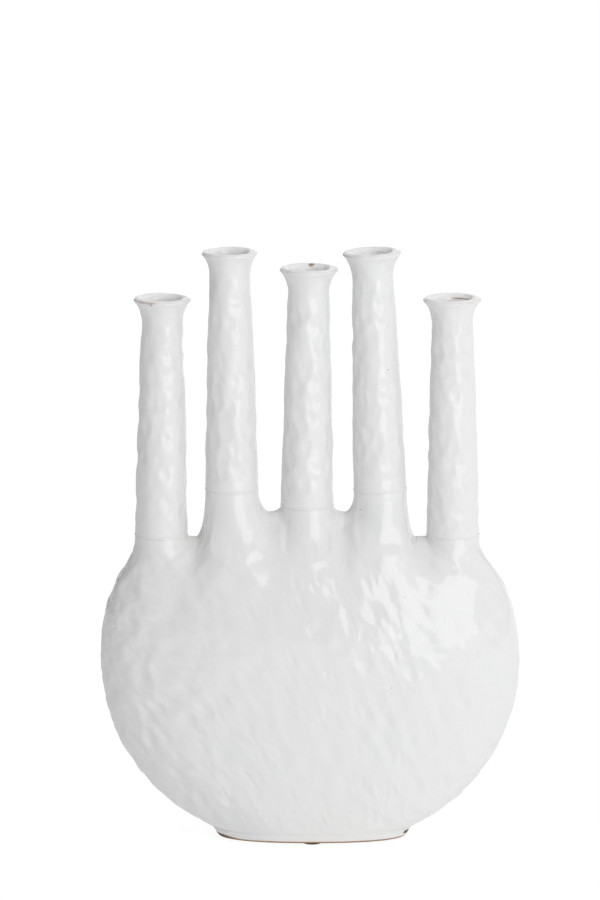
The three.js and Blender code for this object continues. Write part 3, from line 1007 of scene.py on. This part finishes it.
# %% [markdown]
# ## A neck's profile
#
# Each neck was turned on the wheel, so one profile gives its whole form: a slight swelling above the seam, a
# long taper, the flare, a rolled lip with its broad inner slope, and the bore. The stretches are curves
# between a few named radii and heights, and each runs on in the direction in which the last one ended.

# %% The sizes of a neck
flare_height = 17 * mm
lip_radii = {"neck_outer_left": 20.5 * mm, "neck_inner_left": 20 * mm}  # the other lips are wider
wide_lip_radius = 20.9 * mm
lip_edge_radius = 1.4 * mm
edge_start, edge_end = -math.pi / 4, math.pi / 3  # of the lip's round edge, as turns from outwards to up
throat_radius = 12.4 * mm
throat_depth = 4 * mm
neck_fullness = 0.8 * mm  # how far the taper swells past a straight line
flare_start_pull, flare_end_pull = 0.35 * flare_height, 0.3 * flare_height
roll_start_pull, roll_end_pull = throat_depth, 1.4 * throat_depth
edge_points, corner_points = 9, 5
steps = {"taper": 105, "flare": 16, "roll": 14, "upper bore": 8, "lower bore": 30, "flat": 4}


# %% The profile of a neck
def bezier(stretch, *points):
    """Points on a Bezier curve with any number of control points, without the first."""
    points = np.array(points, float)
    t = np.linspace(0, 1, steps[stretch] + 1)[1:, None]
    degree = len(points) - 1
    return sum(math.comb(degree, k) * (1 - t) ** (degree - k) * t**k * p for k, p in enumerate(points))


def onward(turn):
    """The way in which a circle runs on at a turn."""
    return np.array([-math.sin(turn), math.cos(turn)])


def neck_profile(lip_radius):
    """The closed section of a neck's wall as radius and height, from its seam up, over and down the bore."""
    waist = neck_length - flare_height
    throat = neck_length - throat_depth
    bore, waist_bore = neck_base_radius - neck_wall, neck_waist_radius - neck_wall
    taper_middle = (neck_base_radius + neck_waist_radius) / 2 + neck_fullness
    bore_middle = taper_middle - neck_wall
    turns = np.linspace(edge_start, edge_end, edge_points)[:, None]
    edge = lip_edge_radius * np.concatenate([np.cos(turns), np.sin(turns)], axis=1)
    edge = np.array([lip_radius - lip_edge_radius, neck_length]) + edge
    corner = seam_edge_round * (1 - np.cos(np.linspace(0, math.pi / 2, corner_points)))
    base = np.stack([neck_base_radius - corner[::-1], corner], axis=1)

    taper = bezier("taper", base[-1], (taper_middle, waist / 2), (neck_waist_radius, waist))
    flare = bezier("flare", (neck_waist_radius, waist), (neck_waist_radius, waist + flare_start_pull),
                   edge[0] - flare_end_pull * onward(edge_start), edge[0])
    roll = bezier("roll", edge[-1], edge[-1] + roll_start_pull * onward(edge_end),
                  (throat_radius, throat + roll_end_pull), (throat_radius, throat))
    upper = bezier("upper bore", (throat_radius, throat), (throat_radius, (throat + waist) / 2),
                   (waist_bore, waist))
    lower = bezier("lower bore", (waist_bore, waist), (bore_middle, waist / 2), (bore, 0))
    flat = np.linspace((bore, 0), base[0], steps["flat"])[1:-1]
    return [("base", base), ("taper", taper), ("flare", flare), ("edge", edge[1:]), ("roll", roll),
            ("bore", upper), ("bore", lower), ("base", flat)]


profiles = {name: neck_profile(lip_radii.get(name, wide_lip_radius)) for name in seams}
print("profile points:", sum(len(points) for part, points in profiles["neck_centre"]))

# %% [markdown]
# To turn the profile, Curve to Mesh sweeps it round a circle. On the wheel's circle the profile's own X axis
# points outwards and its Y axis down, so a point is written as its distance outside the circle and its depth
# below it. The turned wall gets its finger marks while it still stands upright, and is then leaned and set on
# its seam.

# %% The profile as a mesh
wheel_radius = neck_waist_radius
neck_calm = (2 * mm, seam_calm)  # the heights between which the finger marks set in above a seam
lip_calm = (146 * mm, 163 * mm)  # and fade out below a lip
flare_press, lip_press = 0.4, 0.45


def profile_mesh(stretches):
    """The profile as a ring of edges, with two numbers: press, and one that marks the inside, whose glaze is
    made whiter as painted light in the shaded bore.
    """
    radii, heights = np.concatenate([points for part, points in stretches]).T
    parts = np.concatenate([[part] * len(points) for part, points in stretches])
    free = smooth_step(heights, *neck_calm) * (1 - smooth_step(heights, *lip_calm))
    press = np.select(
        [parts == "taper", parts == "flare", (parts == "edge") | (parts == "roll")],
        [free, flare_press + (1 - flare_press) * free, lip_press],
    )
    # the inside, whose glaze is made whiter as painted light in the shaded bore
    poured_and_lit = (parts == "roll") | (parts == "bore")
    mesh = bpy.data.meshes.new("profile")
    corners = np.stack([radii - wheel_radius, -heights, np.zeros_like(radii)], axis=1)[::-1]
    count = len(corners)
    mesh.from_pydata(corners.tolist(), [(i, (i + 1) % count) for i in range(count)], [])
    write_number(mesh, "press", press[::-1])
    write_number(mesh, "poured_and_lit", poured_and_lit[::-1])
    return mesh


# %% The wheel, as a tree
def wheel_tree():
    sizes = {"Sides": 144, "Wheel radius": wheel_radius, "Lean": 0.0, "Seam": (0.0, 0.0, 0.0), **marks}
    tree, inlet = geometry_tree("Potter's wheel", sizes)
    section = tree.node("GeometryNodeMeshToCurve", {}, {"Mesh": inlet})
    circle = tree.node("GeometryNodeCurvePrimitiveCircle", {"mode": "RADIUS"},
                       {"Resolution": inlet.outlet("Sides"), "Radius": inlet.outlet("Wheel radius")})
    wheel = tree.node("GeometryNodeSetCurveNormal", {"mode": "Z_UP"}, {"Curve": circle})
    turned = tree.node("GeometryNodeCurveToMesh", {}, {"Curve": wheel, "Profile Curve": section})
    marked = finger_marks(tree, inlet, turned)
    lean = tree.node("ShaderNodeCombineXYZ", {}, {"Y": inlet.outlet("Lean")})
    seated = tree.node("GeometryNodeTransform", {},
                       {"Geometry": marked, "Translation": inlet.outlet("Seam"), "Rotation": lean})
    close_tree(tree, inlet, seated)
    return tree


wheel = wheel_tree()

# %% [markdown]
# The five necks come off the same wheel, and each has its own finger marks. On some lips the glaze pulled
# back in a spot. Its place is given in mm to the right, to the back and up, on a neck that stands upright on
# its seam, and after that its reach. Along some stretches of the rim the glaze ran thin. Along some stretches
# of the throat a shadow line is painted, in the colours of thin glaze and bare clay, where the inner wall is
# in shade. A stretch is given by the turn of its middle and the turn from there to its end, in degrees, where
# 0 is the right and -90 the front. The last number is always how bare the clay is; for a throat it is how
# dark the painted shadow is.

# %% Where the glaze is thin on the necks, and where shadow is painted in their throats
thin_spots = {
    "neck_outer_left": [((-7.6, -19.2, 169.2), 2.0, 0.75)],
    "neck_centre": [((1.9, 15.4, 171.6), 4.6, 0.66)],
    "neck_inner_right": [((0.3, -20.1, 168), 1.3, 0.8)],
    "neck_outer_right": [((11.6, -9.6, 171.6), 3.5, 0.5)],
}
rim_stretches = {
    "neck_outer_left": [(-122, 34, 0.56)],
    "neck_inner_left": [(80, 40, 0.44)],
    "neck_centre": [(-135, 28, 0.42), (-62, 22, 0.38)],
    "neck_inner_right": [(-150, 26, 0.38), (60, 30, 0.38)],
    "neck_outer_right": [(-60, 34, 0.42), (30, 30, 0.4)],
}
# In the throats the stretches are painted shadow: dark lines where the inner wall is in shade.
throat_shadow_lines = {
    "neck_inner_left": [(28, 26, 0.42)],
    "neck_centre": [(22, 24, 0.5)],
    "neck_inner_right": [(66, 34, 0.5)],
    "neck_outer_right": [(58, 54, 0.75)],
}
# The stretches follow two lines: outwards from the lip's edge or the throat, and up from the neck's length.
rim_line, throat_shadow_line = (-0.6 * mm, 0.4 * mm), (0.6 * mm, -1.2 * mm)
# How far from its line thin glaze, or the painted shadow in a throat, is still full, and how far it reaches.
rim_fade, throat_shadow_fade = (0.5 * mm, 1.7 * mm), (0.3 * mm, 1.1 * mm)


# %% How bare a neck is, and where shadow is painted in its throat
def bareness_and_shade(name, seam, lean):
    """A function that says how bare corners are, and how dark a painted throat shadow is: 1 in a full spot,
    and 0 away from spots and stretches.
    """
    upright = np.array(Matrix.Rotation(-lean, 3, "Y"))
    lip_radius = lip_radii.get(name, wide_lip_radius)
    lines = [
        (lip_radius, rim_line, rim_fade, rim_stretches.get(name, [])),
        (throat_radius, throat_shadow_line, throat_shadow_fade, throat_shadow_lines.get(name, [])),
    ]

    def bare_and_shade(corners):
        own = (corners - seam) @ upright.T
        share = np.zeros(len(own))
        for place, reach, fullness in thin_spots.get(name, []):
            away = np.linalg.norm(own / mm - place, axis=1)
            share = np.maximum(share, fullness * (1 - smooth_step(away, 0.3 * reach, reach)))
        turns = np.degrees(np.arctan2(own[:, 1], own[:, 0]))
        for radius, (out, up), fade, stretches in lines:
            radial = np.hypot(own[:, 0], own[:, 1]) - (radius + out)
            from_line = np.hypot(radial, own[:, 2] - (neck_length + up))
            for turn, span, fullness in stretches:
                along = np.abs((turns - turn + 180) % 360 - 180)
                thin = (1 - smooth_step(from_line, *fade)) * (1 - smooth_step(along, 0.4 * span, span))
                share = np.maximum(share, fullness * thin)
        return share

    return bare_and_shade


# %% Five necks from one wheel
necks = []
for number, (name, (seam, lean)) in enumerate(seams.items()):
    base = seam + neck_axis(lean) * seat_gap
    neck = run_tree(
        "turned_" + name, profile_mesh(profiles[name]), wheel, white_glaze,
        lean=lean, seam=tuple(base), depth=1.1 * mm, stroke=(8 * mm, 8 * mm, 12.5 * mm),
        slant=math.radians(10), sway=0.7 * mm, sway_size=26 * mm, seed=20.0 + number,
    )
    mark_bare_and_shade(neck, bareness_and_shade(name, base, lean))
    settle(neck, "glaze", name)
    necks.append(neck)

# %% [markdown]
# ## Slip in the seams
#
# The pieces are luted with slip, which is clay thinned to a cream. It squeezes out of each seam as a thin,
# uneven bead, and the glaze half hides it. A torus would do for a neck's round seam, but not for the foot's
# oval one, so a tree sweeps a small circle along the line of any seam and roughens it. The sixth bead runs
# round the top of the foot.


# %% The lines that the beads follow
bead_inset = 0.5 * mm  # of a bead's middle, inside the edge of its seam
seam_sides, foot_sides = 160, 480


def seam_lines():
    """The seams as closed loops of edges."""
    turns = np.linspace(0, full_turn, seam_sides, endpoint=False)
    loops = []
    for seam, lean in seams.values():
        out = round_seam(turns, lean) * (neck_base_radius - bead_inset)
        loops.append(seam + neck_axis(lean) * seat_gap / 2 + out)
    angles = np.linspace(0, full_turn, foot_sides, endpoint=False)
    half_x, half_y = foot_half_width - bead_inset, foot_half_depth - bead_inset
    loops.append(oval(angles, half_x, half_y, middle_of_section(body_bottom), body_bottom - seat_gap / 2))
    corners, edges = [], []
    for loop in loops:
        first = len(corners)
        corners += loop.tolist()
        edges += [(first + i, first + (i + 1) % len(loop)) for i in range(len(loop))]
    mesh = bpy.data.meshes.new("seam_lines")
    mesh.from_pydata(corners, edges, [])
    return mesh


# %% Beads of slip
def slip_tree():
    """Beads that stand about 0.35 mm out of their seams."""
    sizes = {"Bead": 0.85 * mm, "Unevenness": 0.25 * mm, "Lump size": 6 * mm}
    tree, inlet = geometry_tree("Bead of slip", sizes)
    line = tree.node("GeometryNodeMeshToCurve", {}, {"Mesh": inlet})
    circle = tree.node("GeometryNodeCurvePrimitiveCircle", {"mode": "RADIUS"},
                       {"Resolution": 10, "Radius": inlet.outlet("Bead")})
    bead = tree.node("GeometryNodeCurveToMesh", {}, {"Curve": line, "Profile Curve": circle})
    place = tree.node("GeometryNodeInputPosition", {}, {})
    lumps = tree.noise(place, inlet.outlet("Lump size")) - 0.5
    normal = tree.node("GeometryNodeInputNormal", {}, {})
    offset = tree.vector("SCALE", normal, Scale=lumps * 2 * inlet.outlet("Unevenness"))
    close_tree(tree, inlet, tree.node("GeometryNodeSetPosition", {}, {"Geometry": bead, "Offset": offset}))
    return tree


slip_seams = run_tree("slip_seams", seam_lines(), slip_tree(), white_glaze)
settle(slip_seams, "glaze")

# %% [markdown]
# ## Rubber pads
#
# Four thin discs of rubber are stuck to the foot's ring, with a slightly rounded edge. Bevelled cylinders
# would do as well, but the class that gathered the body's skin can stack their rings too. The discs take
# their places from the CAD pads, and one piece stands for all four.

# %% The pads
pad_nodes = ("pad_front", "pad_back", "pad_left", "pad_right")
pad_edge_round = 0.3 * mm
pad_sides = 64


def pads_mesh():
    skin = Skin()
    angles = np.linspace(0, full_turn, pad_sides, endpoint=False)
    bends = np.linspace(0, math.pi / 2, 4)
    from_side, from_end = pad_edge_round * (1 - np.sin(bends)), pad_edge_round * (1 - np.cos(bends))
    insets = np.concatenate([from_side, from_end])
    for node in pad_nodes:
        low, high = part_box(node)
        middle, radius = (low + high) / 2, (high.x - low.x) / 2
        rows = []
        for inset, height in zip(insets, np.concatenate([high.z - from_end, low.z + from_side])):
            x = middle.x + (radius - inset) * np.cos(angles)
            y = middle.y + (radius - inset) * np.sin(angles)
            rows.append(np.stack([x, y, np.full_like(x, height)], axis=1))
        skin.rings(np.stack(rows))
        skin.cap(rows[0], True)
        skin.cap(rows[-1], False)
    return skin.mesh("rubber_pads")


def plain_piece(name, mesh, material):
    """An object with this mesh, shaded smooth."""
    mesh.materials.append(material)
    mesh.shade_smooth()
    return new_object(name, mesh)


rubber_pads = plain_piece("rubber_pads", pads_mesh(), pad_rubber)
settle(rubber_pads, "pad", *pad_nodes)

# %% [markdown]
# ## Pinholes
#
# Where gas from the clay broke through the glaze, it left pinholes that hold a grain of dirt. Dots in the
# glaze's colour would look the same from afar, but a real grain also shows from the side. The ones in front
# are where they are on the real vase, and some more are strewn over the back with a fixed seed. Each place
# is found by a ray, which says where the glaze is and which way it faces, and a tree sets a tiny flattened
# grain there.


# %% Places for the pinholes
# In front, in mm to the right of the middle and up from the table.
front_pinholes = [(55.4, 345.4), (48.8, 423), (36.4, 243.5), (67.6, 185.5), (58.4, 120.7), (119.9, 143)]
back_pinholes = 8
back_reach, back_heights = 100, (40, 180)  # to each side, and up
dice = np.random.default_rng(5)


def on_the_glaze(x, z, side):
    """The place and normal of the glaze behind a point, seen from the front (-1) or from the back (1)."""
    start, way = Vector((x * mm, side, z * mm)), Vector((0, -side, 0))
    hits = [piece.ray_cast(start, way) for piece in (vase_body, *necks)]
    hits = [(place, normal) for hit, place, normal, face in hits if hit]
    return min(hits, key=lambda found: (found[0] - start).length) if hits else None


def pinhole_places():
    found = [on_the_glaze(x, z, -1) for x, z in front_pinholes]
    for _ in range(back_pinholes):
        x, z = dice.uniform(-back_reach, back_reach), dice.uniform(*back_heights)
        found.append(on_the_glaze(x, z, 1))
    return [hit for hit in found if hit]


# %% Grains of dirt in the pinholes
smallest, largest = 0.6, 1.1  # as shares of a whole grain


def pinhole_tree():
    tree, inlet = geometry_tree("Pinholes", {"Grain": 0.4 * mm, "Flatness": 0.3})
    grain = tree.node("GeometryNodeMeshUVSphere", {},
                      {"Segments": 12, "Rings": 8, "Radius": inlet.outlet("Grain")})
    facing = tree.node("GeometryNodeInputNamedAttribute", {"data_type": "FLOAT_VECTOR"}, {"Name": "facing"})
    turned = tree.node("FunctionNodeAlignRotationToVector", {"axis": "Z"}, {"Vector": facing})
    flat = tree.node("ShaderNodeCombineXYZ", {}, {"X": 1.0, "Y": 1.0, "Z": inlet.outlet("Flatness")})
    size = tree.node("FunctionNodeRandomValue", {"data_type": "FLOAT"},
                     {2: smallest, 3: largest, "Seed": 4}, output=1)
    strewn = tree.node("GeometryNodeInstanceOnPoints", {},
                       {"Points": inlet, "Instance": grain, "Rotation": turned,
                        "Scale": tree.vector("SCALE", flat, Scale=size)})
    close_tree(tree, inlet, strewn)
    return tree


places = pinhole_places()
pinhole_points = bpy.data.meshes.new("pinhole_points")
pinhole_points.from_pydata([place for place, normal in places], [], [])
facing = pinhole_points.attributes.new("facing", "FLOAT_VECTOR", "POINT")
facing.data.foreach_set("vector", [part for place, normal in places for part in normal])
pinholes = run_tree("pinholes", pinhole_points, pinhole_tree(), pinhole_dirt)
settle(pinholes, "glaze")

# %% [markdown]
# ## The studio
#
# The vase stands on a white floor in an even white light. One tall soft box on the right, a little above the
# vase's middle, gives the bright patch on the belly and the broken strips of light on the necks and collars.
# A sheet of white paper behind the vase shows in the gloss of the rims. For the camera alone the room is
# pure white. The floor is mostly that white, with enough of its own lit colour left in it to keep the vase's
# soft shadow.

# %% The floor
floor_reach = 30
floor_paper = (0.92, 0.92, 0.92, 1)
floor_white = 0.86  # how much of the floor is plain white to the camera
floor_strength = 1.07  # and how bright that white is, which makes up for the paper's grey
floor_glow = 0.62  # how much of it lights the vase from below
glossy_side = (-0.5, 0.5)  # the glaze mirrors the floor's white more towards the right
white_light = (1, 1, 1, 1)


def floor_material():
    material, tree = new_material("studio_floor")
    rays = tree.node("ShaderNodeLightPath", {}, {})
    right = tree.part(tree.object_place(), "X").ramp(*glossy_side)
    seen = rays.outlet("Is Camera Ray") + rays.outlet("Is Glossy Ray") * right
    seen = seen + rays.outlet("Is Diffuse Ray") * floor_glow
    paper = tree.node("ShaderNodeBsdfDiffuse", {}, {"Color": floor_paper})
    white = tree.node("ShaderNodeEmission", {}, {"Color": white_light, "Strength": floor_strength})
    surface = tree.node("ShaderNodeMixShader", {}, {0: seen * floor_white, 1: paper, 2: white})
    tree.node("ShaderNodeOutputMaterial", {}, {"Surface": surface})
    return material


def studio_floor():
    mesh = bpy.data.meshes.new("studio_floor")
    signs = [(-1, -1), (1, -1), (1, 1), (-1, 1)]
    corners = [(x * floor_reach, y * floor_reach, 0) for x, y in signs]
    mesh.from_pydata(corners, [], [(0, 1, 2, 3)])
    plain_piece("studio_floor", mesh, floor_material())


studio_floor()

# %% The room
room_light = 0.546  # how bright the room is to the vase, where 1 is white
brighter_right, brighter_above = 0.31, 1.4
side_tint = (0.985, 0.95, 1.02, 1)
# Behind the vase the room is darker on the left and brighter on the right, by these shares.
behind_left, behind_right = -0.52, 0.73
behind_turn, behind_across = (0.0, 0.8), (-0.3, 0.6)
backdrop_light = 1.0  # how bright the sheet of paper behind the vase is in the glaze
backdrop_edge = (0.88, 0.96)  # where the sheet begins and is whole, as the Y of a direction


def studio_room():
    world = bpy.data.worlds.new("room")
    bpy.context.scene.world = world
    world.use_nodes = True
    world.node_tree.nodes.clear()
    tree = Tree(world.node_tree)
    seen = tree.node("ShaderNodeLightPath", {}, {}).outlet("Is Camera Ray")
    way = tree.node("ShaderNodeTexCoord", {}, {}).outlet("Generated")
    across, back, up = (tree.part(way, axis) for axis in "XYZ")
    slope = 1 + brighter_right * across + brighter_above * (up - 0.5)
    behind = behind_left + (behind_right - behind_left) * across.ramp(*behind_across)
    behind = back.ramp(*behind_turn) * behind
    sheet = back.ramp(*backdrop_edge)
    strength = room_light * slope * (1 + behind) * (1 - sheet) + backdrop_light * sheet
    colour = tree.blend((across * across).ramp(0.0, 1.0), white_light, side_tint)
    room = tree.node("ShaderNodeBackground", {}, {"Color": colour, "Strength": strength})
    white = tree.node("ShaderNodeBackground", {}, {"Color": white_light, "Strength": 1.0})
    light = tree.node("ShaderNodeMixShader", {}, {0: seen, 1: room, 2: white})
    tree.node("ShaderNodeOutputWorld", {}, {"Surface": light})


studio_room()

# %% The soft box
light_aim = Vector((0, 0, 0.2))
light_azimuth, light_elevation = math.radians(30), math.radians(18.5)
light_distance = 2
light_width, light_height = 1.28, 2
light_watts = 16


def look_at(thing, place, aim):
    """Puts a lamp or a camera at a place, facing a point, upright."""
    thing.location = place
    thing.rotation_euler = (aim - place).to_track_quat("-Z", "Y").to_euler()


def soft_box():
    lamp = bpy.data.lights.new("soft_box", "AREA")
    lamp.shape = "RECTANGLE"
    lamp.size, lamp.size_y = light_width, light_height
    lamp.energy = light_watts
    way = Vector((math.sin(light_azimuth) * math.cos(light_elevation),
                  -math.cos(light_azimuth) * math.cos(light_elevation), math.sin(light_elevation)))
    look_at(new_object("soft_box", lamp), light_aim + way * light_distance, light_aim)
    print(f"soft box radiance {light_watts / (math.pi * light_width * light_height):.1f}")


soft_box()

# %% [markdown]
# ## The camera
#
# The ellipses of the lips and of the foot give the height of the eye: 11.5 degrees above the horizon. They
# hardly differ from the lowest to the highest, so the camera stood far off, with a long lens.

# %% The camera
camera_aim = Vector((-7.15, 0, 284.1)) * mm
camera_distance = 4.5
camera_elevation = math.radians(11.5)
camera_lens, sensor_width = 251.4, 36  # in mm, as Blender counts them

view = bpy.data.cameras.new("camera")
view.lens = camera_lens
view.sensor_width = sensor_width
view.clip_end = 100
camera = new_object("camera", view)
eye = camera_aim + Vector((0, -math.cos(camera_elevation), math.sin(camera_elevation))) * camera_distance
look_at(camera, eye, camera_aim)
bpy.context.scene.camera = camera
bpy.context.scene.view_settings.view_transform = "Standard"
print("camera at:", [round(side, 3) for side in eye])
